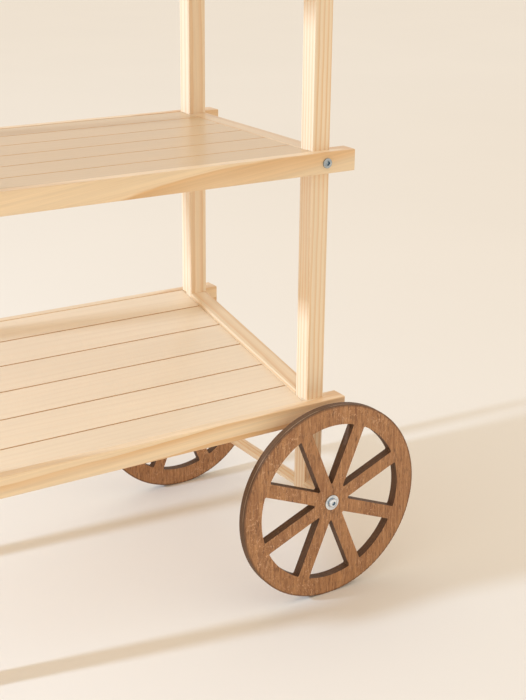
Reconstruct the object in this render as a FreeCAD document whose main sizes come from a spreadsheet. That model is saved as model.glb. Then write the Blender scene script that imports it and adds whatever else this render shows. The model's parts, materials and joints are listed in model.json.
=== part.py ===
import FreeCAD, Part
import math
import os
import re

import Sketcher

# A bar cart: three slatted tiers on four posts, two legs at the left end and two
# large spoked wheels at the right end. Millimetres, +Z up, X along the cart, Y from
# the front to the rear, origin on the floor under the middle of the cart.

SIZES = {
    # posts
    "post_size": 25,
    "post_pitch_x": 511,
    "post_pitch_y": 292,
    "post_round": 1.2,
    "wheel_post_foot": 118,
    "leg_foot": 5,
    # rails and tiers
    "rail_height": 26,
    "rail_depth": 25,
    "rail_proud": 13,
    "rail_overhang": 28,
    "low_overhang": 25,
    "handle_overhang": 95,
    "rail_round": 1.6,
    "low_front_top": 259,
    "low_rear_top": 321,
    "middle_top": 576,
    "upper_top": 893,
    "low_drop": 6,
    "level_drop": 0.4,
    # shelf parts
    "slat_thick": 9,
    "slat_pitch": 55,
    "slat_gap": 1.4,
    "slat_round": 0.5,
    "slat_end_gap": 0.4,
    "ledger_width": 15,
    "ledger_thick": 8,
    "batten_width": 30,
    "batten_thick": 8,
    # wheels
    "wheel_radius": 131,
    "wheel_thick": 12,
    "wheel_reach": 42,
    "rim_width": 25.5,
    "spoke_width": 17.5,
    "gap_round": 1.8,
    "wheel_round": 0.8,
    "side_play": 0.3,
    # axle parts
    "axle_radius": 3,
    "axle_fit": 0.05,
    "sleeve_radius": 5,
    "spacer_radius": 18.5,
    "washer_radius": 10,
    "washer_thick": 1.5,
    "axle_head_radius": 6.1,
    "axle_head_thick": 3.6,
    "cross_bar_radius": 7.5,
    "axle_grip": 40,
    # rail bolts and screws
    "bolt_radius": 3,
    "bolt_head_radius": 6,
    "bolt_head_thick": 2.4,
    "bolt_grip": 20,
    "socket_radius": 2.9,
    "socket_depth": 1.8,
    "screw_radius": 1.6,
    "screw_head_radius": 3.4,
    "screw_head_thick": 1.6,
    "screw_grip": 5,
    # push bar and feet
    "handle_radius": 11,
    "handle_seat": 12,
    "handle_inset": 22,
    "glide_radius": 10,
}
SHEET = "Sizes"
CUT = 1.0
FRONT = -1
REAR = 1
LEFT = -1
RIGHT = 1
SPOKES = 8
SLATS = 6

SHAPES = []

doc = FreeCAD.newDocument("bar_cart")


# ---- spreadsheet and small helpers -------------------------------------------------

def make_sheet():
    sheet = doc.addObject("Spreadsheet::Sheet", SHEET)
    for row, (alias, value) in enumerate(SIZES.items(), start=1):
        sheet.set("A%d" % row, alias)
        sheet.set("B%d" % row, str(value))
        sheet.setAlias("B%d" % row, alias)
    doc.recompute()
    return sheet


def cell(formula):
    """The formula with every size name pointed at its cell in the sheet."""
    def point(match):
        word = match.group(0)
        return "%s.%s" % (SHEET, word) if word in SIZES else word
    return re.sub(r"[a-z_]+", point, str(formula))


def bind(item, prop, formula):
    item.setExpression(prop, cell(formula))


def size(name):
    return float(getattr(doc.getObject(SHEET), name))


def new_body(label):
    body = doc.addObject("PartDesign::Body", label)
    body.Label = label
    SHAPES.append(body)
    return body


def put(item, across="0", depth="0", up="0", turn=0):
    """Place a finished sub-part, turned about the vertical first."""
    item.Placement = FreeCAD.Placement(
        FreeCAD.Vector(0, 0, 0), FreeCAD.Rotation(FreeCAD.Vector(0, 0, 1), turn))
    for axis, formula in (("x", across), ("y", depth), ("z", up)):
        bind(item, "Placement.Base." + axis, formula)


def sketch_on(body, role, name, offset="0"):
    """A sketch on one of the body's own origin planes, shifted along its normal."""
    sketch = body.newObject("Sketcher::SketchObject", name)
    plane = next(item for item in body.Origin.OriginFeatures if item.Role == role)
    sketch.AttachmentSupport = [(plane, "")]
    sketch.MapMode = "FlatFace"
    bind(sketch, "AttachmentOffset.Base.z", offset)
    return sketch


def outline(sketch, corners):
    """A closed run of straight lines whose corners are bound to the sheet."""
    first = sketch.GeometryCount
    count = len(corners)
    start = []
    for index in range(count):
        angle = 2 * math.pi * index / count
        start.append(FreeCAD.Vector(math.cos(angle), math.sin(angle), 0))
    for index in range(count):
        sketch.addGeometry(Part.LineSegment(start[index], start[(index + 1) % count]))
    for index in range(count):
        after = first + (index + 1) % count
        sketch.addConstraint(Sketcher.Constraint("Coincident", first + index, 2, after, 1))
    for index, (across, up) in enumerate(corners):
        sides = (("DistanceX", start[index].x, across), ("DistanceY", start[index].y, up))
        for kind, value, formula in sides:
            made = sketch.addConstraint(Sketcher.Constraint(kind, first + index, 1, value))
            bind(sketch, "Constraints[%d]" % made, formula)


def rectangle(sketch, left, low, right, high):
    outline(sketch, [(left, low), (right, low), (right, high), (left, high)])


def ring(sketch, across, up, radius):
    """A circle whose centre and radius are bound to the sheet."""
    made = sketch.addGeometry(Part.Circle(FreeCAD.Vector(1, 1, 0), FreeCAD.Vector(0, 0, 1), 1))
    rules = (
        (Sketcher.Constraint("DistanceX", made, 3, 1.0), across),
        (Sketcher.Constraint("DistanceY", made, 3, 1.0), up),
        (Sketcher.Constraint("Radius", made, 1.0), radius),
    )
    for rule, formula in rules:
        index = sketch.addConstraint(rule)
        bind(sketch, "Constraints[%d]" % index, formula)


def pad(body, sketch, length, both_ways=False):
    feature = body.newObject("PartDesign::Pad", sketch.Name + "_pad")
    feature.Profile = sketch
    if both_ways:
        feature.SideType = "Symmetric"
    bind(feature, "Length", length)
    return feature


def pocket(body, sketch, length):
    """Cut the sketch to both sides of its plane, length in all."""
    doc.recompute()
    before = body.Shape.Volume
    feature = body.newObject("PartDesign::Pocket", sketch.Name + "_cut")
    feature.Profile = sketch
    feature.SideType = "Symmetric"
    bind(feature, "Length", length)
    doc.recompute()
    if body.Shape.Volume > before - 0.5:
        raise RuntimeError("%s cuts nothing" % feature.Name)
    return feature


def soften(body, feature, radius, wanted):
    """Round the edges of a feature that the test picks."""
    doc.recompute()
    names = []
    for index, edge in enumerate(feature.Shape.Edges, start=1):
        if wanted(edge):
            names.append("Edge%d" % index)
    fillet = body.newObject("PartDesign::Fillet", feature.Name + "_round")
    fillet.Base = (feature, names)
    bind(fillet, "Radius", radius)
    return fillet


def along(axis):
    """A test for straight edges that lie along a row axis, or nearly so."""
    def wanted(edge):
        if edge.Curve.TypeId != "Part::GeomLine":
            return False
        way = edge.Curve.Direction
        return abs({"x": way.x, "y": way.y, "z": way.z}[axis]) > 0.9
    return wanted


def cylinder(label, radius, height):
    """A Part cylinder on its own Z axis, from Z = 0 to the height."""
    item = doc.addObject("Part::Cylinder", label)
    item.Label = label
    bind(item, "Radius", radius)
    bind(item, "Height", height)
    return item


def lay(item, across, depth, up, way):
    """Turn a cylinder so that it points along +Y (way 1) or -Y (way -1), and place it."""
    item.Placement = FreeCAD.Placement(
        FreeCAD.Vector(0, 0, 0), FreeCAD.Rotation(FreeCAD.Vector(1, 0, 0), -90 * way))
    for axis, formula in (("x", across), ("y", depth), ("z", up)):
        bind(item, "Placement.Base." + axis, formula)


# ---- where things are --------------------------------------------------------------

# The cart's box runs from the left ends of the upper rails to the right wheel's edge.
BOX_LENGTH = "(post_pitch_x + post_size / 2 + handle_overhang + wheel_radius)"
WHEEL_X = "(%s / 2 - wheel_radius)" % BOX_LENGTH
LEG_X = "(%s - post_pitch_x)" % WHEEL_X
MIDDLE_X = "(%s - post_pitch_x / 2)" % WHEEL_X
HALF_RUN = "((post_pitch_y + post_size) / 2)"
INNER_SPAN = "(post_pitch_x - post_size)"
# The lowest tier rises from the front rail's top to the rear rail's top, which it
# reaches at the inner faces of the rear posts.
SHELF_SLOPE = "((low_rear_top - low_front_top) / post_pitch_y)"

TIERS = (
    # name, top of the front rail, top of the rear rail, slope, drop of the slats,
    # rail overhang at the right end, rail overhang at the left end
    ("lower", "low_front_top", "low_rear_top", SHELF_SLOPE, "low_drop",
     "low_overhang", "low_overhang"),
    ("middle", "middle_top", "middle_top", "0", "level_drop",
     "rail_overhang", "rail_overhang"),
    ("upper", "upper_top", "upper_top", "0", "level_drop",
     "rail_overhang", "handle_overhang"),
)


def side_word(side):
    return "front" if side == FRONT else "rear"


def end_word(end):
    return "left" if end == LEFT else "right"


def rail_top(tier, side):
    return tier[1] if side == FRONT else tier[2]


def level_at(tier, depth, below):
    """Height of a shelf plane at a depth, so far below the tops of the side rails."""
    return "%s + ((%s) + %s) * %s - (%s)" % (tier[1], depth, HALF_RUN, tier[3], below)


# ---- posts -------------------------------------------------------------------------

def make_post(side, end):
    label = "post_%s_%s" % (side_word(side), end_word(end))
    body = new_body(label)
    foot = "wheel_post_foot" if end == RIGHT else "leg_foot"
    half = "post_size / 2"
    section = sketch_on(body, "XY_Plane", label + "_section", foot)
    rectangle(section, "-" + half, "-" + half, half, half)
    stock = pad(body, section, "upper_top - " + foot)
    soften(body, stock, "post_round", along("z"))
    notches = sketch_on(body, "YZ_Plane", label + "_notches")
    for tier in TIERS:
        top = rail_top(tier, side)
        over = CUT if tier[0] == "upper" else 0
        rectangle(notches, "-%s - %s" % (half, CUT), top + " - rail_height",
                  "-%s + rail_depth - rail_proud" % half, "%s + %s" % (top, over))
    pocket(body, notches, "post_size * 2")
    holes = sketch_on(body, "XZ_Plane", label + "_holes")
    for tier in TIERS:
        ring(holes, "0", rail_top(tier, side) + " - rail_height / 2", "bolt_radius")
    if end == RIGHT:
        ring(holes, "0", "wheel_radius", "axle_radius")
    pocket(body, holes, "post_size * 2")
    across = WHEEL_X if end == RIGHT else LEG_X
    put(body, across, "%d * post_pitch_y / 2" % side, "0", 0 if side == FRONT else 180)


# ---- rails -------------------------------------------------------------------------

def make_rail(tier, side):
    """A long rail. Its own Y = 0 is the outer face and +Y points into the cart."""
    label = "%s_rail_%s" % (tier[0], side_word(side))
    body = new_body(label)
    right, left = (tier[5], tier[6]) if side == FRONT else (tier[6], tier[5])
    reach = "(post_pitch_x + post_size) / 2"
    section = sketch_on(body, "XY_Plane", label + "_plan")
    rectangle(section, "-%s - %s" % (reach, left), "0", "%s + %s" % (reach, right), "rail_depth")
    stock = pad(body, section, "rail_height")
    soften(body, stock, "rail_round", along("x"))
    slope = "%d * %s" % (-side, tier[3])
    step = "%d * %s" % (side, HALF_RUN)
    seat = "(%s - %s + rail_height)" % (
        level_at(tier, step, "slat_thick + " + tier[4]), rail_top(tier, side))
    rebate = sketch_on(body, "YZ_Plane", label + "_rebate")
    beyond = "rail_depth + %s" % CUT
    outline(rebate, [
        ("rail_proud", seat),
        (beyond, "%s + (%s - rail_proud) * %s" % (seat, beyond, slope)),
        (beyond, "rail_height + %s" % CUT),
        ("rail_proud", "rail_height + %s" % CUT),
    ])
    pocket(body, rebate, INNER_SPAN)
    holes = sketch_on(body, "XZ_Plane", label + "_holes")
    for end in (LEFT, RIGHT):
        ring(holes, "%d * post_pitch_x / 2" % end, "rail_height / 2", "bolt_radius")
    pocket(body, holes, "rail_depth * 3")
    if tier[0] == "upper":
        seat_hole = sketch_on(body, "XZ_Plane", label + "_handle_seat", "-rail_depth")
        ring(seat_hole, "%d * (%s + handle_overhang - handle_inset)" % (side, reach),
             "rail_height / 2", "handle_radius")
        pocket(body, seat_hole, "handle_seat * 2")
    depth = "%d * (%s + rail_proud)" % (side, HALF_RUN)
    put(body, MIDDLE_X, depth, rail_top(tier, side) + " - rail_height", 0 if side == FRONT else 180)


def make_side_rail(tier, end):
    """A cross rail between a front and a rear post, on the line of the rail tops."""
    label = "%s_side_rail_%s" % (tier[0], end_word(end))
    body = new_body(label)
    half = "(post_pitch_y - post_size) / 2"
    profile = sketch_on(body, "YZ_Plane", label + "_profile")
    outline(profile, [
        ("-" + half, level_at(tier, "-" + half, "rail_height")),
        (half, level_at(tier, half, "rail_height")),
        (half, level_at(tier, half, "0")),
        ("-" + half, level_at(tier, "-" + half, "0")),
    ])
    stock = pad(body, profile, "post_size", both_ways=True)
    soften(body, stock, "post_round", along("y"))
    for side in (FRONT, REAR):
        hole = sketch_on(body, "XZ_Plane", "%s_hole_%s" % (label, side_word(side)),
                         "%d * %s" % (-side, half))
        ring(hole, "0", rail_top(tier, side) + " - rail_height / 2", "bolt_radius")
        pocket(body, hole, "bolt_grip * 2")
    put(body, WHEEL_X if end == RIGHT else LEG_X)


# ---- shelf parts -------------------------------------------------------------------

def shelf_band(sketch, tier, half, top, thick):
    """A band along the shelf's slope, from -half to half, below the rail tops."""
    outline(sketch, [
        ("-(%s)" % half, level_at(tier, "-(%s)" % half, "%s + %s" % (top, thick))),
        (half, level_at(tier, half, "%s + %s" % (top, thick))),
        (half, level_at(tier, half, top)),
        ("-(%s)" % half, level_at(tier, "-(%s)" % half, top)),
    ])


def make_ledger(tier, end):
    """The strip on a side rail's inner face that carries the ends of the slats."""
    label = "%s_ledger_%s" % (tier[0], end_word(end))
    body = new_body(label)
    inside = "%s - rail_depth + rail_proud" % HALF_RUN
    profile = sketch_on(body, "YZ_Plane", label + "_profile", "%d * ledger_width / 2" % -end)
    shelf_band(profile, tier, inside, "%s + slat_thick" % tier[4], "ledger_thick")
    pad(body, profile, "ledger_width", both_ways=True)
    put(body, "%s + %d * %s / 2" % (MIDDLE_X, end, INNER_SPAN))


def slat_edges(index):
    """The depths of a slat's two edges; the outer slats reach the rails' steps."""
    low = "%d * slat_pitch" % (index - SLATS // 2) if index > 0 else "-" + HALF_RUN
    high = "%d * slat_pitch" % (index + 1 - SLATS // 2) if index < SLATS - 1 else HALF_RUN
    if index > 0:
        low += " + slat_gap / 2"
    if index < SLATS - 1:
        high += " - slat_gap / 2"
    return low, high


def make_slat(tier, index):
    label = "%s_slat_%d" % (tier[0], index + 1)
    body = new_body(label)
    low, high = slat_edges(index)
    under = tier[4] + " + slat_thick"
    profile = sketch_on(body, "YZ_Plane", label + "_profile")
    outline(profile, [
        (low, level_at(tier, low, under)),
        (high, level_at(tier, high, under)),
        (high, level_at(tier, high, tier[4])),
        (low, level_at(tier, low, tier[4])),
    ])
    stock = pad(body, profile, INNER_SPAN + " - 2 * slat_end_gap", both_ways=True)
    middle = stock_middle(stock)

    def upper_long(edge):
        return along("x")(edge) and edge.CenterOfMass.z > middle.z
    soften(body, stock, "slat_round", upper_long)
    put(body, MIDDLE_X)


def stock_middle(feature):
    doc.recompute()
    return feature.Shape.CenterOfMass


def make_batten(tier):
    """The batten under the middle of a shelf, between the long rails."""
    label = tier[0] + "_batten"
    body = new_body(label)
    inside = "%s - rail_depth + rail_proud" % HALF_RUN
    profile = sketch_on(body, "YZ_Plane", label + "_profile")
    shelf_band(profile, tier, inside, "%s + slat_thick" % tier[4], "batten_thick")
    stock = pad(body, profile, "batten_width", both_ways=True)
    middle = stock_middle(stock)

    def lower_long(edge):
        return along("y")(edge) and abs(edge.CenterOfMass.x) > 1 and edge.CenterOfMass.z < middle.z
    soften(body, stock, "post_round", lower_long)
    put(body, MIDDLE_X)


# ---- wheels ------------------------------------------------------------------------

def make_wheel(side):
    """One board with eight spokes, made upright about its own centre."""
    label = side_word(side) + "_wheel"
    body = new_body(label)
    disc = sketch_on(body, "XZ_Plane", label + "_disc")
    ring(disc, "0", "0", "wheel_radius")
    stock = pad(body, disc, "wheel_thick", both_ways=True)
    soften(body, stock, "wheel_round", lambda edge: edge.Curve.TypeId == "Part::GeomCircle")
    bore = sketch_on(body, "XZ_Plane", label + "_bore")
    ring(bore, "0", "0", "sleeve_radius")
    pocket(body, bore, "wheel_thick * 2")
    gap = pocket(body, spoke_gap(body, label), "wheel_thick * 2")
    corners = soften(body, gap, "gap_round", gap_corner)
    doc.recompute()
    pattern = body.newObject("PartDesign::PolarPattern", label + "_gaps")
    pattern.Originals = [gap, corners]
    axis = next(item for item in body.Origin.OriginFeatures if item.Role == "Y_Axis")
    pattern.Axis = (axis, [""])
    pattern.Angle = 360
    pattern.Occurrences = SPOKES
    body.Tip = pattern
    middle = "%d * (%s + wheel_reach - wheel_thick / 2)" % (side, HALF_RUN)
    put(body, WHEEL_X, middle, "wheel_radius")


def spoke_gap(body, label):
    """The gap above the hub: two spoke edges that meet, closed by the rim's arc."""
    half = math.radians(180 / SPOKES)
    spoke = size("spoke_width") / 2
    inner = size("wheel_radius") - size("rim_width")
    apex = FreeCAD.Vector(0, spoke / math.sin(half), 0)
    # where a line beside the spoke, half a spoke width off its middle, meets the rim
    run = math.sqrt(inner ** 2 - spoke ** 2)
    right = FreeCAD.Vector(run * math.sin(half) - spoke * math.cos(half),
                           run * math.cos(half) + spoke * math.sin(half), 0)
    left = FreeCAD.Vector(-right.x, right.y, 0)
    sketch = sketch_on(body, "XZ_Plane", label + "_gap")
    sketch.addGeometry(Part.LineSegment(apex, right))
    sketch.addGeometry(Part.Arc(right, FreeCAD.Vector(0, inner, 0), left))
    sketch.addGeometry(Part.LineSegment(left, apex))
    sketch.addConstraint(Sketcher.Constraint("Coincident", 0, 2, 1, 1))
    sketch.addConstraint(Sketcher.Constraint("Coincident", 2, 1, 1, 2))
    sketch.addConstraint(Sketcher.Constraint("Coincident", 2, 2, 0, 1))
    sketch.addConstraint(Sketcher.Constraint("Coincident", 1, 3, -1, 1))
    sketch.addConstraint(Sketcher.Constraint("PointOnObject", 0, 1, -2))
    return constrain_gap(sketch, half)


def constrain_gap(sketch, half):
    """Bind the gap's arc and its apex to the sheet, and slant its two sides alike."""
    arc = sketch.addConstraint(Sketcher.Constraint("Radius", 1, size("wheel_radius") - size("rim_width")))
    bind(sketch, "Constraints[%d]" % arc, "wheel_radius - rim_width")
    height = size("spoke_width") / 2 / math.sin(half)
    apex = sketch.addConstraint(Sketcher.Constraint("DistanceY", 0, 1, height))
    bind(sketch, "Constraints[%d]" % apex, "spoke_width / 2 / sin(%s deg)" % (180 / SPOKES))
    sketch.addConstraint(Sketcher.Constraint("Angle", 0, math.pi / 2 - half))
    sketch.addConstraint(Sketcher.Constraint("Equal", 0, 2))
    return sketch


def gap_corner(edge):
    """A test for the gap's three corner edges, which cross the board."""
    if not along("y")(edge):
        return False
    return math.hypot(edge.CenterOfMass.x, edge.CenterOfMass.z) > size("sleeve_radius") * 2


# ---- axle parts --------------------------------------------------------------------

def tube(label, outer, inner, length, depth, side):
    """A round sleeve on the axle line that starts at a depth and runs outwards."""
    whole = cylinder(label + "_whole", outer, length)
    core = cylinder(label + "_core", inner, length)
    for item in (whole, core):
        lay(item, WHEEL_X, depth, "wheel_radius", side)
    item = doc.addObject("Part::Cut", label)
    item.Label = label
    item.Base = whole
    item.Tool = core
    SHAPES.append(item)
    return item


def make_axle_parts(side):
    word = side_word(side)
    post_face = "%d * %s" % (side, HALF_RUN)
    back = "wheel_reach - wheel_thick"
    tube(word + "_spacer", "spacer_radius", "axle_radius", back + " - side_play", post_face, side)
    tube(word + "_wheel_sleeve", "sleeve_radius", "axle_radius + axle_fit", "wheel_thick",
         "%s + %d * (%s)" % (post_face, side, back), side)
    tube(word + "_washer", "washer_radius", "axle_radius", "washer_thick",
         "%s + %d * (wheel_reach + side_play)" % (post_face, side), side)
    make_axle_bolt(side, post_face)


def make_axle_bolt(side, post_face):
    """Shank, domed head and hexagon socket, as one solid."""
    label = side_word(side) + "_axle_bolt"
    body = new_body(label)
    under = "wheel_reach + side_play + washer_thick"
    shank = "post_size + " + under
    section = sketch_on(body, "YZ_Plane", label + "_section")
    outline(section, [
        ("-axle_grip", "0"),
        (shank + " + axle_head_thick", "0"),
        (shank + " + axle_head_thick", "axle_head_radius * 0.72"),
        (shank + " + axle_head_thick * 0.8", "axle_head_radius * 0.9"),
        (shank + " + axle_head_thick * 0.4", "axle_head_radius"),
        (shank, "axle_head_radius"),
        (shank, "axle_radius"),
        ("-axle_grip", "axle_radius"),
    ])
    turn = body.newObject("PartDesign::Revolution", label + "_turned")
    turn.Profile = section
    turn.ReferenceAxis = (section, ["H_Axis"])
    turn.Angle = 360
    socket = sketch_on(body, "XZ_Plane", label + "_socket", "-(%s + axle_head_thick)" % shank)
    hexagon(socket, "socket_radius")
    pocket(body, socket, "socket_depth * 2")
    depth = "%s - %d * post_size" % (post_face, side)
    put(body, WHEEL_X, depth, "wheel_radius", 0 if side == REAR else 180)


def hexagon(sketch, radius):
    corners = []
    for index in range(6):
        angle = 60 * index
        corners.append(("%s * cos(%d deg)" % (radius, angle), "%s * sin(%d deg)" % (radius, angle)))
    outline(sketch, corners)


def make_cross_bar():
    label = "cross_bar"
    body = new_body(label)
    section = sketch_on(body, "XZ_Plane", label + "_section")
    ring(section, "0", "0", "cross_bar_radius")
    pad(body, section, "post_pitch_y - post_size", both_ways=True)
    for side in (FRONT, REAR):
        hole = sketch_on(body, "XZ_Plane", "%s_hole_%s" % (label, side_word(side)),
                         "%d * (post_pitch_y - post_size) / 2" % side)
        ring(hole, "0", "0", "axle_radius")
        pocket(body, hole, "axle_grip * 2")
    put(body, WHEEL_X, "0", "wheel_radius")


def make_handle():
    """The round push bar, let into the long left ends of the upper rails."""
    label = "push_bar"
    body = new_body(label)
    inside = "2 * (%s + rail_proud - rail_depth)" % HALF_RUN
    section = sketch_on(body, "XZ_Plane", label + "_section")
    ring(section, "0", "0", "handle_radius")
    pad(body, section, inside + " + 2 * handle_seat", both_ways=True)
    across = "%s - post_size / 2 - handle_overhang + handle_inset" % LEG_X
    put(body, across, "0", "upper_top - rail_height / 2")


def make_glide(side):
    label = "glide_" + side_word(side)
    item = doc.addObject("Part::Cylinder", label)
    item.Label = label
    bind(item, "Radius", "glide_radius")
    bind(item, "Height", "leg_foot")
    put(item, LEG_X, "%d * post_pitch_y / 2" % side)
    SHAPES.append(item)


# ---- fasteners, as groups of separate solids ---------------------------------------

def bolt_shape(radius, grip, head_radius, head_thick, socket_depth):
    """A bolt along +Z whose head stands on Z = 0 and whose shank runs down from it."""
    shank = Part.makeCylinder(radius, grip, FreeCAD.Vector(0, 0, -grip))
    head = Part.makeCylinder(head_radius, head_thick)
    rim = [edge for edge in head.Edges if edge.CenterOfMass.z > head_thick * 0.9
           and edge.Curve.TypeId == "Part::GeomCircle"]
    head = head.makeFillet(head_thick * 0.45, rim)
    corners = []
    for index in range(7):
        angle = math.radians(60 * index)
        across = size("socket_radius") * radius / size("bolt_radius")
        corners.append(FreeCAD.Vector(across * math.cos(angle), across * math.sin(angle), head_thick))
    socket = Part.Face(Part.makePolygon(corners)).extrude(FreeCAD.Vector(0, 0, -socket_depth))
    return head.fuse(shank).removeSplitter().cut(socket)


def placed(shape, across, depth, up, axis, angle):
    copy = shape.copy()
    copy.Placement = FreeCAD.Placement(
        FreeCAD.Vector(across, depth, up), FreeCAD.Rotation(axis, angle))
    return copy


def add_group(label, shapes):
    item = doc.addObject("Part::Feature", label)
    item.Label = label
    item.Shape = Part.makeCompound(shapes)
    SHAPES.append(item)


def wheel_post_x():
    """WHEEL_X as a number, for the shapes that are placed without expressions."""
    left_reach = size("post_pitch_x") + size("post_size") / 2 + size("handle_overhang")
    return (left_reach - size("wheel_radius")) / 2


def make_rail_bolts():
    """One bolt at each crossing, through rail and post into the side rail's end."""
    reach = size("rail_proud") + size("post_size")
    bolt = bolt_shape(size("bolt_radius"), reach + size("bolt_grip"), size("bolt_head_radius"),
                      size("bolt_head_thick"), size("socket_depth"))
    outer = (size("post_pitch_y") + size("post_size")) / 2 + size("rail_proud")
    shapes = []
    for tier in TIERS:
        for side in (FRONT, REAR):
            up = size(rail_top(tier, side)) - size("rail_height") / 2
            for across in (wheel_post_x(), wheel_post_x() - size("post_pitch_x")):
                shapes.append(placed(bolt, across, side * outer, up,
                                     FreeCAD.Vector(1, 0, 0), -90 * side))
    add_group("rail_bolts", shapes)


def make_batten_screws():
    """Pan-head screws up through each batten into the two middle slats."""
    screw = bolt_shape(size("screw_radius"), size("batten_thick") + size("screw_grip"),
                       size("screw_head_radius"), size("screw_head_thick"),
                       size("screw_head_thick") / 2)
    middle = wheel_post_x() - size("post_pitch_x") / 2
    run = size("post_pitch_y") + size("post_size")
    shapes = []
    for tier in TIERS:
        slope = (size(tier[2]) - size(tier[1])) / size("post_pitch_y")
        thick = size(tier[4]) + size("slat_thick") + size("batten_thick") / math.cos(math.atan(slope))
        for depth in (-size("slat_pitch") / 2, size("slat_pitch") / 2):
            up = size(tier[1]) + (depth + run / 2) * slope - thick
            tilt = 180 + math.degrees(math.atan(slope))
            shapes.append(placed(screw, middle, depth, up, FreeCAD.Vector(1, 0, 0), tilt))
    add_group("batten_screws", shapes)


# ---- build, check and write --------------------------------------------------------

def build():
    make_sheet()
    for side in (FRONT, REAR):
        for end in (LEFT, RIGHT):
            make_post(side, end)
    for tier in TIERS:
        for side in (FRONT, REAR):
            make_rail(tier, side)
        for end in (LEFT, RIGHT):
            make_side_rail(tier, end)
            make_ledger(tier, end)
        for index in range(SLATS):
            make_slat(tier, index)
        make_batten(tier)
    for side in (FRONT, REAR):
        make_wheel(side)
        make_axle_parts(side)
        make_glide(side)
    make_cross_bar()
    make_handle()
    make_rail_bolts()
    make_batten_screws()
    doc.recompute()


def check():
    for item in doc.Objects:
        if "Invalid" in item.State or "Error" in item.State:
            raise RuntimeError("%s did not compute: %s" % (item.Name, item.State))
    for item in SHAPES:
        if item.Shape.isNull() or not item.Shape.isValid():
            raise RuntimeError("%s has a bad shape" % item.Label)


def write():
    os.makedirs("parts", exist_ok=True)
    for item in SHAPES:
        item.Shape.exportStep("parts/%s.step" % item.Label)


build()
check()
write()
print("%d sub-parts written" % len(SHAPES))
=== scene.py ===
import json
import math
import random

import bpy
from mathutils import Euler, Matrix, Vector


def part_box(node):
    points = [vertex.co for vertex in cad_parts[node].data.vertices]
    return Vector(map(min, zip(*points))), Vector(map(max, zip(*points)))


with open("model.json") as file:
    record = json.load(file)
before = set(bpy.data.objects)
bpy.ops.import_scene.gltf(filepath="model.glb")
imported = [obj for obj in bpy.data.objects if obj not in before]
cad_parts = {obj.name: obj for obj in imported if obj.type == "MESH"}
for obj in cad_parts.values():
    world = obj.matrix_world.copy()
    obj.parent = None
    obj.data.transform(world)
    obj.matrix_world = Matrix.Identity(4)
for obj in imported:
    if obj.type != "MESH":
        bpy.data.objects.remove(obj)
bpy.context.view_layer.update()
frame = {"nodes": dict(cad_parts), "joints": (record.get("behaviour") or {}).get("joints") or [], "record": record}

# Looks of the bar cart: pale varnished pine, brown stained wheels, bright zinc hardware.
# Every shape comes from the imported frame; lengths are metres in the frame's own axes.

NODES = frame["nodes"]
HUB = Vector(frame["joints"][0]["pos_m"])

TIERS = ("lower", "middle", "upper")
SIDES = ("front", "rear")
ENDS = ("left", "right")

# Colours are linear. "Early" is the pale part of a growth ring, "late" its dark part.
PINE_EARLY = (0.92, 0.735, 0.51)
PINE_LATE = (0.78, 0.440, 0.175)
RAIL_EARLY = (0.90, 0.685, 0.435)
RAIL_LATE = (0.745, 0.435, 0.185)
SLAT_EARLY = (0.82, 0.645, 0.435)
SLAT_LATE = (0.73, 0.51, 0.30)
# Painted light per shelf: the middle shelf's slats are darker and warmer, as painted shade from the tier above;
# the lower shelf's are paler and bluer, as painted key light.
SHELF_PAINTED_LIGHT = {
    "lower": (1.09, 1.135, 1.20),
    "middle": (0.845, 0.780, 0.672),
    "upper": (1.0, 1.0, 1.0),
}
SIDE_RAILS = {
    "lower": (RAIL_EARLY, RAIL_LATE),
    "middle": ((0.78, 0.575, 0.350), (0.68, 0.44, 0.230)),
    "upper": ((0.84, 0.640, 0.405), (0.72, 0.45, 0.220)),
}
# Painted shade: the darker brown put on the walls of the grooves between slats.
GROOVE_SHADE = (0.72, 0.42, 0.18)
STAIN_PALE = (0.54, 0.268, 0.110)
STAIN_DARK = (0.27, 0.112, 0.046)
STAIN_FLECK = (0.72, 0.42, 0.23)
STAIN_PORE = (0.085, 0.036, 0.017)
STAIN_WALL = (0.060, 0.030, 0.015)
STAIN_TREAD = (0.118, 0.060, 0.026)
STAIN_FILLER = (0.52, 0.34, 0.20)
ZINC_BRIGHT = ((0.86, 0.90, 0.93), (0.60, 0.66, 0.72))
# Painted shade: a darker copy of the zinc for the rail bolts and screws, standing in for the dim surroundings they
# reflect.
ZINC_SHADED = ((0.58, 0.65, 0.71), (0.34, 0.40, 0.46))
# Painted shade: dark blue-grey laid into the hollows of the zinc parts.
ZINC_SOCKET_SHADE = (0.10, 0.19, 0.27)
GLIDE_DARK = (0.060, 0.045, 0.035)
GLIDE_PALE = (0.090, 0.070, 0.055)
# Floor colours: near and far, the far one paler as painted light, and faint dim and clear patches.
FLOOR_NEAR = (0.86, 0.785, 0.680)
FLOOR_FAR = (0.89, 0.835, 0.755)
FLOOR_DIM = (0.985, 0.985, 0.985)
FLOOR_CLEAR = (1.015, 1.015, 1.015)

# The lowest shelf's own slope, and the turn that stands each direction of grain upright.
SHELF_MOUNT = next(mount for mount in frame["record"]["mounts"] if mount["name"] == "lower_shelf")
SHELF_AXIS = SHELF_MOUNT["axis"]
SHELF_TILT = math.atan2(-SHELF_AXIS[1], SHELF_AXIS[2])
GRAIN_TURN = {
    "x": Euler((0.0, math.radians(-90), 0.0)),
    "y": Euler((math.radians(90), 0.0, 0.0)),
    "z": Euler((0.0, 0.0, 0.0)),
    "slope": Euler((math.radians(90) - SHELF_TILT, 0.0, 0.0)),
}
GRAIN_WAY = {
    "x": (1.0, 0.0, 0.0),
    "y": (0.0, 1.0, 0.0),
    "z": (0.0, 0.0, 1.0),
    "slope": (0.0, 1.0, 0.0),
}

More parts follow.
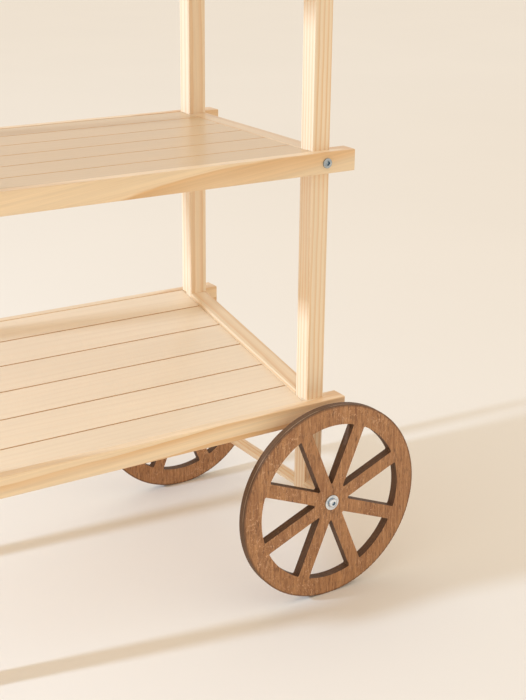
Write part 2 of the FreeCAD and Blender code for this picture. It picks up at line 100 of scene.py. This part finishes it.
# Depth of colour across one growth ring, from the pith's side outwards.
RING_PROFILE = ((0.0, 0.06), (0.12, 0.0), (0.45, 0.14), (0.72, 0.75), (0.90, 1.0), (0.95, 0.12))
SEED_RANGE = (2.0, 40.0)
PINE_ROUGHNESS = 0.36
END_GRAIN_SHADE = 0.82
# How strongly the painted groove shade covers the slats' groove walls.
GROOVE_SHADE_AMOUNT = 0.85

# How the long rails are cut: broad rings that run out of their faces at a slant.
# "pith" is the tree's middle as seen from the board's, "lean" the tilt in degrees.
RAIL_CUTS = {
    "lower": {"pith": (-0.064, 0.012), "lean": (0.0, 1.8), "spacing": 0.020,
              "contrast": 1.0, "wander": 0.014, "reach": 4.0, "streaks": 0.08},
    "middle": {"pith": (-0.103, 0.015), "lean": (0.0, 6.7), "spacing": 0.058,
               "contrast": 0.95, "wander": 0.018, "reach": 5.0, "streaks": 0.08},
    "upper": {"pith": (-0.060, 0.020), "lean": (0.0, 2.0), "spacing": 0.015,
              "contrast": 0.8, "streaks": 0.06},
}

# How the posts are cut: many upright lines in front, fewer and broader behind.
POST_CUTS = {
    "front": {"pith": (0.075, 0.085), "lean": (0.2, -0.15), "spacing": 0.0046,
              "contrast": 0.72, "wander": 0.011, "reach": 2.6},
    "rear": {"pith": (0.050, 0.085), "lean": (0.5, 0.7), "spacing": 0.0080,
             "contrast": 0.70, "wander": 0.014, "reach": 3.0},
}

# How the wheels are cut, and the bands at the rim: distances in from the outside.
WHEEL_CUT = {"pith": (0.055, 0.03), "lean": (2.0, 1.0)}
WHEEL_RINGS = {"spacing": 0.009, "wander": 0.03, "reach": 6.0}
TREAD_BAND = (0.006, 0.003)
ARRIS_BAND = (0.0030, 0.0012)
LAYER_OFFSET = 0.0008
LAYER_THICKNESS = 0.0021
FILLER_OFFSET = 0.0024
GLUE_LINE = (0.0006, 0.0002)


# ---- node helper -------------------------------------------------------------------

class Looks:
    """A material whose nodes are wired as they are made."""

    def __init__(self, name):
        self.material = bpy.data.materials.new(name)
        self.material.use_nodes = True
        self.tree = self.material.node_tree
        self.tree.nodes.clear()

    def add(self, kind, sockets=None, **settings):
        node = self.tree.nodes.new(kind)
        for name, value in settings.items():
            setattr(node, name, value)
        for name, value in (sockets or {}).items():
            self.feed(node.inputs[name], value)
        return node

    def feed(self, socket, value):
        if isinstance(value, bpy.types.NodeSocket):
            self.tree.links.new(value, socket)
        elif isinstance(value, tuple) and len(value) == 3 and socket.type == "RGBA":
            socket.default_value = (*value, 1.0)
        else:
            socket.default_value = value

    def maths(self, operation, first, second=0.0, third=0.0):
        node = self.add("ShaderNodeMath", {0: first, 1: second, 2: third}, operation=operation)
        return node.outputs[0]

    def vector(self, operation, first, second=(0.0, 0.0, 0.0)):
        node = self.add("ShaderNodeVectorMath", {0: first, 1: second}, operation=operation)
        return node.outputs["Value" if operation in ("LENGTH", "DOT_PRODUCT") else "Vector"]

    def noise(self, vector, stretch, detail=2.0, roughness=0.5, output="Fac"):
        """Noise with its own number of features per metre along each axis."""
        stretched = self.vector("MULTIPLY", vector, stretch)
        node = self.add("ShaderNodeTexNoise", {
            "Vector": stretched, "Scale": 1.0, "Detail": detail, "Roughness": roughness})
        return node.outputs[output]

    def step(self, value, low, high, to_low=0.0, to_high=1.0):
        """Smooth step from one level to another, held outside the two limits."""
        node = self.add("ShaderNodeMapRange", {
            "Value": value, "From Min": low, "From Max": high,
            "To Min": to_low, "To Max": to_high}, interpolation_type="SMOOTHSTEP")
        return node.outputs["Result"]

    def spread(self, value, low, high, to_low, to_high):
        """Straight slope from one level to another, held outside the two limits."""
        node = self.add("ShaderNodeMapRange", {
            "Value": value, "From Min": low, "From Max": high, "To Min": to_low, "To Max": to_high})
        return node.outputs["Result"]

    def blend(self, amount, first, second, mode="MIX"):
        node = self.add("ShaderNodeMix", data_type="RGBA", blend_type=mode)
        self.feed(node.inputs[0], amount)
        self.feed(node.inputs[6], first)
        self.feed(node.inputs[7], second)
        return node.outputs[2]

    def shade(self, colour, light):
        """A colour made lighter or darker by a number."""
        grey = self.add("ShaderNodeCombineColor", {0: light, 1: light, 2: light}).outputs[0]
        return self.blend(1.0, colour, grey, "MULTIPLY")

    def cover(self, colour, mask, amount, over):
        """A colour laid over another where a mask says, up to an amount."""
        return self.blend(self.maths("MULTIPLY", mask, amount), colour, over)

    def ramp(self, value, stops):
        node = self.add("ShaderNodeValToRGB", {"Fac": value})
        points = node.color_ramp.elements
        while len(points) < len(stops):
            points.new(0.5)
        for point, (place, level) in zip(points, stops):
            point.position = place
            point.color = (level, level, level, 1.0)
        return node.outputs["Color"]

    def finish(self, colour, roughness, height, bump, **fixed):
        """Close the material: what varies is linked, what is even is set on the shader."""
        relief = self.add("ShaderNodeBump", {
            "Height": height, "Strength": bump[0], "Distance": bump[1]})
        shader = self.add("ShaderNodeBsdfPrincipled", {
            "Base Color": colour, "Roughness": roughness, "Normal": relief.outputs[0]})
        for name, value in fixed.items():
            self.feed(shader.inputs[name.replace("_", " ")], value)
        self.add("ShaderNodeOutputMaterial", {"Surface": shader.outputs[0]})
        return self.material


def middle(node):
    low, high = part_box(node)
    return (Vector(low) + Vector(high)) / 2


def grain_space(looks, centre, axis, pith, lean, seed):
    """Coordinates with the grain along Z and the tree's pith on the Z axis."""
    turn = Euler((math.radians(lean[0]), math.radians(lean[1]), 0.0)).to_matrix()
    turn = turn @ GRAIN_TURN[axis].to_matrix()
    shift = Vector((pith[0], pith[1], seed)) - turn @ centre
    place = looks.add("ShaderNodeTexCoord").outputs["Object"]
    mapped = looks.add("ShaderNodeMapping", {
        "Vector": place, "Location": tuple(shift), "Rotation": tuple(turn.to_euler())})
    return mapped.outputs["Vector"]


def growth_rings(looks, space, spacing, wander, reach):
    """0 in the pale early wood, 1 in the thin dark late wood at each ring's edge."""
    drift = looks.noise(space, (9.0, 9.0, reach), detail=4.0, output="Color")
    drift = looks.vector("MULTIPLY", looks.vector("SUBTRACT", drift, (0.5, 0.5, 0.5)),
                         (wander, wander, 0.0))
    flat = looks.vector("MULTIPLY", looks.vector("ADD", space, drift), (1.0, 1.0, 0.0))
    radius = looks.vector("LENGTH", flat)
    uneven = looks.noise(space, (45.0, 45.0, reach), detail=1.0)
    phase = looks.maths("MULTIPLY_ADD", radius, 1.0 / spacing, looks.maths("MULTIPLY", uneven, 0.6))
    tooth = looks.maths("FRACT", phase)
    return looks.ramp(tooth, RING_PROFILE)


def facing_mask(looks, way, low, high):
    """1 on faces that look along a direction, either way."""
    normal = looks.add("ShaderNodeTexCoord").outputs["Normal"]
    facing = looks.maths("ABSOLUTE", looks.vector("DOT_PRODUCT", normal, way))
    return looks.step(facing, low, high)


# ---- materials ---------------------------------------------------------------------

def pine(name, centre, axis, early, late, pith, lean, spacing=0.006, contrast=0.7,
         wander=0.010, reach=3.0, tone=1.0, groove=0.0, streaks=0.04, grit=1.0):
    """Varnished pine with rings, fibres, soft blotches, darker ends, and painted shade on groove walls."""
    looks = Looks(name)
    seed = random.Random(name).uniform(*SEED_RANGE)
    space = grain_space(looks, centre, axis, pith, lean, seed)
    rings = growth_rings(looks, space, spacing, wander, reach)
    fibre = looks.noise(space, (1000.0, 1000.0, 18.0), detail=3.0, roughness=0.65)
    streak = looks.noise(space, (260.0, 260.0, 2.5), detail=3.0)
    blotch = looks.noise(space, (12.0, 12.0, 4.0), detail=1.0)
    ends = facing_mask(looks, GRAIN_WAY[axis], 0.75, 0.95)
    held = looks.maths("MULTIPLY", rings, looks.spread(blotch, 0.35, 0.65, contrast * 0.6, contrast))
    colour = looks.blend(held, early, late)
    light = looks.spread(fibre, 0.25, 0.75, 1.0 - 0.05 * grit, 1.0 + 0.04 * grit)
    streaked = looks.spread(streak, 0.3, 0.7, 1.0 - streaks, 1.0 + streaks * 0.7)
    blotched = looks.spread(blotch, 0.3, 0.7, 0.97 * tone, 1.02 * tone)
    ended = looks.spread(ends, 0.0, 1.0, 1.0, END_GRAIN_SHADE)
    for factor in (streaked, blotched, ended):
        light = looks.maths("MULTIPLY", light, factor)
    colour = looks.shade(colour, light)
    # Painted shade: faces turned to front or back, which are the slats' groove walls, are coloured darker brown as
    # if in shadow.
    if groove:
        walls = facing_mask(looks, (0.0, 1.0, 0.0), 0.25, 0.60)
        colour = looks.cover(colour, walls, groove, GROOVE_SHADE)
    rough = looks.spread(fibre, 0.3, 0.7, PINE_ROUGHNESS - 0.05, PINE_ROUGHNESS + 0.07)
    rough = looks.maths("ADD", rough, looks.maths("MULTIPLY", ends, 0.18))
    height = looks.maths("MULTIPLY_ADD", fibre, 0.35, looks.maths("MULTIPLY", rings, 0.5))
    return looks.finish(colour, rough, height, (0.30, 0.00025),
                        Coat_Weight=0.20, Coat_Roughness=0.20)


def stained_wood(name, centre, radius):
    """Brown stained board: grain upright, dark cut walls, and a laminated tread."""
    looks = Looks(name)
    seed = random.Random(name).uniform(*SEED_RANGE)
    space = grain_space(looks, centre, "z", seed=seed, **WHEEL_CUT)
    rings = growth_rings(looks, space, **WHEEL_RINGS)
    fibre = looks.noise(space, (1500.0, 1500.0, 70.0), detail=3.0, roughness=0.7)
    streak = looks.noise(space, (330.0, 330.0, 14.0), detail=4.0, roughness=0.65)
    blotch = looks.noise(space, (60.0, 60.0, 34.0), detail=4.0, roughness=0.7)
    pores = looks.step(looks.noise(space, (1000.0, 1000.0, 90.0)), 0.57, 0.68)
    flecks = looks.step(looks.noise(space, (520.0, 520.0, 60.0)), 0.60, 0.72)
    colour = looks.blend(looks.spread(streak, 0.31, 0.69, 0.0, 1.0), STAIN_PALE, STAIN_DARK)
    colour = looks.cover(colour, rings, 0.30, STAIN_DARK)
    colour = looks.blend(looks.spread(blotch, 0.40, 0.70, 0.0, 0.4), colour, STAIN_PALE)
    colour = looks.cover(colour, flecks, 0.42, STAIN_FLECK)
    scuffs = looks.noise(space, (430.0, 260.0, 420.0), detail=4.0, roughness=0.75)
    colour = looks.blend(looks.step(scuffs, 0.58, 0.80, 0.0, 0.60), colour, STAIN_FLECK)
    colour = looks.blend(looks.step(scuffs, 0.44, 0.24, 0.0, 0.75), colour, STAIN_DARK)
    zones = looks.noise(space, (16.0, 16.0, 12.0), detail=1.0)
    curly = looks.step(zones, 0.42, 0.62, 0.15, 0.80)
    colour = looks.blend(curls(looks, space, 210.0, curly), colour, STAIN_FLECK)
    colour = looks.blend(curls(looks, space, 270.0, curly), colour, STAIN_DARK)
    colour = looks.cover(colour, pores, 0.70, STAIN_PORE)
    walls, tread, line, rim, filler = wheel_masks(looks, centre, radius)
    colour = looks.cover(colour, rim, 0.55, STAIN_PORE)
    colour = looks.cover(colour, walls, 0.80, STAIN_WALL)
    colour = looks.cover(colour, tread, 0.80, STAIN_TREAD)
    colour = looks.cover(colour, line, 0.75, STAIN_PORE)
    smear = looks.step(looks.noise(space, (26.0, 26.0, 26.0)), 0.46, 0.58, 0.0, 0.6)
    colour = looks.cover(colour, filler, smear, STAIN_FILLER)
    light = looks.spread(fibre, 0.25, 0.75, 0.84, 1.12)
    colour = looks.shade(colour, light)
    rough = looks.spread(streak, 0.3, 0.7, 0.42, 0.56)
    rough = looks.maths("ADD", rough, looks.maths("MULTIPLY", looks.maths("ADD", walls, tread), 0.22))
    height = looks.maths("MULTIPLY_ADD", fibre, 0.5, looks.maths("MULTIPLY", pores, -0.8))
    return looks.finish(colour, rough, height, (0.40, 0.0003),
                        Coat_Weight=0.06, Coat_Roughness=0.35, Specular_IOR_Level=0.35)


def curls(looks, space, size, amount):
    """Short crooked strokes, broken out of the contours of a noise."""
    field = looks.noise(space, (size, size, size * 0.6), detail=2.0, roughness=0.6)
    off = looks.maths("ABSOLUTE", looks.maths("SUBTRACT", field, 0.5))
    gaps = looks.noise(space, (size * 0.8, size * 0.8, size * 0.8), detail=1.0)
    stroke = looks.maths("MULTIPLY", looks.step(off, 0.035, 0.008), looks.step(gaps, 0.47, 0.59))
    return looks.maths("MULTIPLY", stroke, amount)


def wheel_masks(looks, centre, radius):
    """Where a wheel's board shows its cut walls, tread, glue lines, rim arris and filler line."""
    coords = looks.add("ShaderNodeTexCoord")
    sideways = looks.vector("DOT_PRODUCT", coords.outputs["Normal"], (0.0, 1.0, 0.0))
    cut = looks.step(looks.maths("ABSOLUTE", sideways), 0.75, 0.35)
    out = looks.vector("SUBTRACT", coords.outputs["Object"], tuple(centre))
    reach = looks.vector("LENGTH", looks.vector("MULTIPLY", out, (1.0, 0.0, 1.0)))
    outside = looks.step(reach, radius - TREAD_BAND[0], radius - TREAD_BAND[1])
    tread = looks.maths("MULTIPLY", cut, outside)
    walls = looks.maths("SUBTRACT", cut, tread)
    rim = looks.step(reach, radius - ARRIS_BAND[0], radius - ARRIS_BAND[1])
    across = looks.vector("DOT_PRODUCT", out, (0.0, 1.0, 0.0))
    layer = looks.maths("PINGPONG", looks.maths("ADD", across, LAYER_OFFSET), LAYER_THICKNESS)
    line = looks.maths("MULTIPLY", looks.step(layer, *GLUE_LINE), cut)
    beside = looks.maths("ABSOLUTE", looks.maths("ADD", across, FILLER_OFFSET))
    filler = looks.maths("MULTIPLY", looks.step(beside, *GLUE_LINE), tread)
    return walls, tread, line, rim, filler


def zinc(name, pale, dark):
    """Zinc plate: pale, a little blue, cloudy, with painted shade, dark and bluish, down in its sockets and
    hollows.
    """
    looks = Looks(name)
    place = looks.add("ShaderNodeTexCoord").outputs["Object"]
    fine = looks.noise(place, (2600.0, 2600.0, 2600.0), detail=2.0)
    cloud = looks.noise(place, (240.0, 240.0, 240.0), detail=3.0)
    colour = looks.blend(looks.spread(cloud, 0.3, 0.7, 0.0, 1.0), pale, dark)
    # Painted shade: an occlusion node finds the sockets and hollows, which are coloured dark blue-grey.
    socket_shade = looks.add("ShaderNodeAmbientOcclusion", {"Distance": 0.004}, samples=8).outputs["AO"]
    colour = looks.blend(looks.step(socket_shade, 0.85, 0.30), colour, ZINC_SOCKET_SHADE)
    rough = looks.spread(cloud, 0.3, 0.7, 0.20, 0.34)
    return looks.finish(colour, rough, fine, (0.15, 0.0001), Metallic=1.0)


def glide_plastic(name):
    """Moulded dark plastic with a fine matt grain."""
    looks = Looks(name)
    place = looks.add("ShaderNodeTexCoord").outputs["Object"]
    grain = looks.noise(place, (1800.0, 1800.0, 1800.0), detail=2.0)
    cloud = looks.noise(place, (120.0, 120.0, 120.0))
    colour = looks.blend(looks.spread(cloud, 0.3, 0.7, 0.0, 1.0), GLIDE_DARK, GLIDE_PALE)
    rough = looks.spread(grain, 0.3, 0.7, 0.55, 0.70)
    return looks.finish(colour, rough, grain, (0.4, 0.0002))


def floor_finish(name):
    """Plain pale floor, very faintly uneven, with painted light making it paler towards the back."""
    looks = Looks(name)
    place = looks.add("ShaderNodeTexCoord").outputs["Object"]
    cloud = looks.noise(place, (1.5, 1.5, 1.5), detail=2.0)
    # Painted light: the floor turns paler and less yellow towards the back.
    back = looks.step(looks.vector("DOT_PRODUCT", place, (0.0, 1.0, 0.0)), 0.3, 4.0)
    colour = looks.blend(back, FLOOR_NEAR, FLOOR_FAR)
    shade = looks.blend(cloud, FLOOR_DIM, FLOOR_CLEAR)
    colour = looks.blend(1.0, colour, shade, "MULTIPLY")
    rough = looks.spread(cloud, 0.3, 0.7, 0.78, 0.86)
    return looks.finish(colour, rough, cloud, (0.05, 0.0005), Specular_IOR_Level=0.2)


def wear(node, material):
    """Give a CAD node its finish."""
    for slot in NODES[node].material_slots:
        slot.material = material


# ---- which finish goes where -------------------------------------------------------

def board(node, axis, early, late, far=0.05, **facts):
    """A pine finish of its own for one board, cut from its own place in the tree."""
    chance = random.Random("pith " + node)
    angle = chance.uniform(0, 2 * math.pi)
    away = far * chance.uniform(0.7, 1.5)
    lean = (chance.uniform(-1.0, 1.0), chance.uniform(-1.0, 1.0))
    picked = {"pith": (away * math.cos(angle), away * math.sin(angle)), "lean": lean,
              "tone": chance.uniform(0.975, 1.025)}
    picked.update(facts)
    wear(node, pine(node + "_pine", middle(node), axis, early, late, **picked))


# Slat colour with its shelf's painted light or shade laid in.
def with_shelf_light(colour, tier):
    return tuple(level * tint for level, tint in zip(colour, SHELF_PAINTED_LIGHT[tier]))


def finish_frame():
    for side in SIDES:
        for end in ENDS:
            board("post_%s_%s" % (side, end), "z", PINE_EARLY, PINE_LATE, **POST_CUTS[side])
    for tier in TIERS:
        for side in SIDES:
            board("%s_rail_%s" % (tier, side), "x", RAIL_EARLY, RAIL_LATE, **RAIL_CUTS[tier])
        cross = "slope" if tier == "lower" else "y"
        for end in ENDS:
            early, late = SIDE_RAILS[tier]
            board("%s_side_rail_%s" % (tier, end), cross, early, late, far=0.05,
                  spacing=0.006, contrast=0.95)
            board("%s_ledger_%s" % (tier, end), cross, PINE_EARLY, PINE_LATE, contrast=0.4)
        for index in range(1, 7):
            chance = random.Random("slat %s %d" % (tier, index))
            board("%s_slat_%d" % (tier, index), "x", with_shelf_light(SLAT_EARLY, tier),
                  with_shelf_light(SLAT_LATE, tier), far=0.09, spacing=0.008, contrast=0.20, groove=GROOVE_SHADE_AMOUNT,
                  streaks=0.02, grit=0.5, tone=chance.uniform(0.985, 1.015))
        board(tier + "_batten", cross, PINE_EARLY, PINE_LATE)
    for node in ("cross_bar", "push_bar", "front_spacer", "rear_spacer"):
        board(node, "y", PINE_EARLY, PINE_LATE, far=0.03, spacing=0.004)


def finish_wheels():
    for side in SIDES:
        node = side + "_wheel"
        low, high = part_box(node)
        wear(node, stained_wood(node + "_stain", middle(node), (high[0] - low[0]) / 2))


def finish_hardware():
    bright = zinc("zinc_bright", *ZINC_BRIGHT)
    for node in ("front_axle_bolt", "rear_axle_bolt", "front_washer", "rear_washer",
                 "front_wheel_sleeve", "rear_wheel_sleeve"):
        wear(node, bright)
    # The rail bolts and screws get the darker zinc copy, which is painted shade.
    shaded_zinc = zinc("zinc_shaded", *ZINC_SHADED)
    for node in ("rail_bolts", "batten_screws"):
        wear(node, shaded_zinc)
    moulded = glide_plastic("glide_plastic")
    for side in SIDES:
        wear("glide_" + side, moulded)


# ---- studio ------------------------------------------------------------------------

CAMERA_FROM_HUB = Vector((-0.9119, -1.2494, 0.7599))
CAMERA_YAW = math.radians(32.94)
CAMERA_DOWN = math.radians(19.82)
CAMERA_ROLL = math.radians(0.62)
CAMERA_LENS = 68.82
SENSOR_WIDTH = 36.0
CLIP_END = 200.0
FLOOR_REACH = 30.0

KEY_PLACE = Vector((-3.02, 0.37, 1.48))
KEY_AIM = Vector((0.0, 0.0, 0.35))
KEY_SIZE = 0.20
KEY_POWER = 103.0
KEY_COLOUR = (0.50, 0.70, 1.0)
FILL_STRENGTH = 1.015
FILL_SIDES = (1.08, 0.92)
FILL_COLOUR = (0.945, 0.880, 0.800)


def add_floor():
    mesh = bpy.data.meshes.new("floor")
    corners = [(x * FLOOR_REACH, y * FLOOR_REACH, 0) for x, y in ((-1, -1), (1, -1), (1, 1), (-1, 1))]
    mesh.from_pydata(corners, [], [(0, 1, 2, 3)])
    floor = bpy.data.objects.new("floor", mesh)
    mesh.materials.append(floor_finish("floor_finish"))
    bpy.context.scene.collection.objects.link(floor)


def add_key():
    light = bpy.data.lights.new("key", "AREA")
    light.shape = "DISK"
    light.size = KEY_SIZE
    light.energy = KEY_POWER
    light.color = KEY_COLOUR
    key = bpy.data.objects.new("key", light)
    key.location = KEY_PLACE
    key.rotation_euler = (KEY_AIM - KEY_PLACE).to_track_quat("-Z", "Y").to_euler()
    bpy.context.scene.collection.objects.link(key)


def add_world():
    """Soft fill from all round, stronger from the key's side than from the other."""
    world = bpy.data.worlds.new("studio")
    world.use_nodes = True
    tree = world.node_tree
    sky = tree.nodes["Background"]
    sky.inputs["Color"].default_value = (*FILL_COLOUR, 1.0)
    way = tree.nodes.new("ShaderNodeTexCoord")
    apart = tree.nodes.new("ShaderNodeSeparateXYZ")
    side = tree.nodes.new("ShaderNodeMapRange")
    side.inputs["From Min"].default_value = -1.0
    side.inputs["From Max"].default_value = 1.0
    side.inputs["To Min"].default_value = FILL_STRENGTH * FILL_SIDES[0]
    side.inputs["To Max"].default_value = FILL_STRENGTH * FILL_SIDES[1]
    tree.links.new(way.outputs["Generated"], apart.inputs[0])
    tree.links.new(apart.outputs["X"], side.inputs["Value"])
    tree.links.new(side.outputs["Result"], sky.inputs["Strength"])
    bpy.context.scene.world = world


def add_camera():
    yaw, down, roll = CAMERA_YAW, CAMERA_DOWN, CAMERA_ROLL
    ahead = Vector((math.sin(yaw) * math.cos(down), math.cos(yaw) * math.cos(down), -math.sin(down)))
    right = Vector((math.cos(yaw), -math.sin(yaw), 0.0))
    above = right.cross(ahead)
    rolled_right = right * math.cos(roll) + above * math.sin(roll)
    rolled_above = above * math.cos(roll) - right * math.sin(roll)
    turn = Matrix((rolled_right, rolled_above, -ahead)).transposed().to_4x4()
    lens = bpy.data.cameras.new("camera")
    lens.lens = CAMERA_LENS
    lens.sensor_width = SENSOR_WIDTH
    lens.clip_end = CLIP_END
    camera = bpy.data.objects.new("camera", lens)
    camera.matrix_world = Matrix.Translation(HUB + CAMERA_FROM_HUB) @ turn
    bpy.context.scene.collection.objects.link(camera)
    bpy.context.scene.camera = camera


finish_frame()
finish_wheels()
finish_hardware()
add_floor()
add_key()
add_world()
add_camera()
bpy.context.scene.view_settings.view_transform = "Standard"
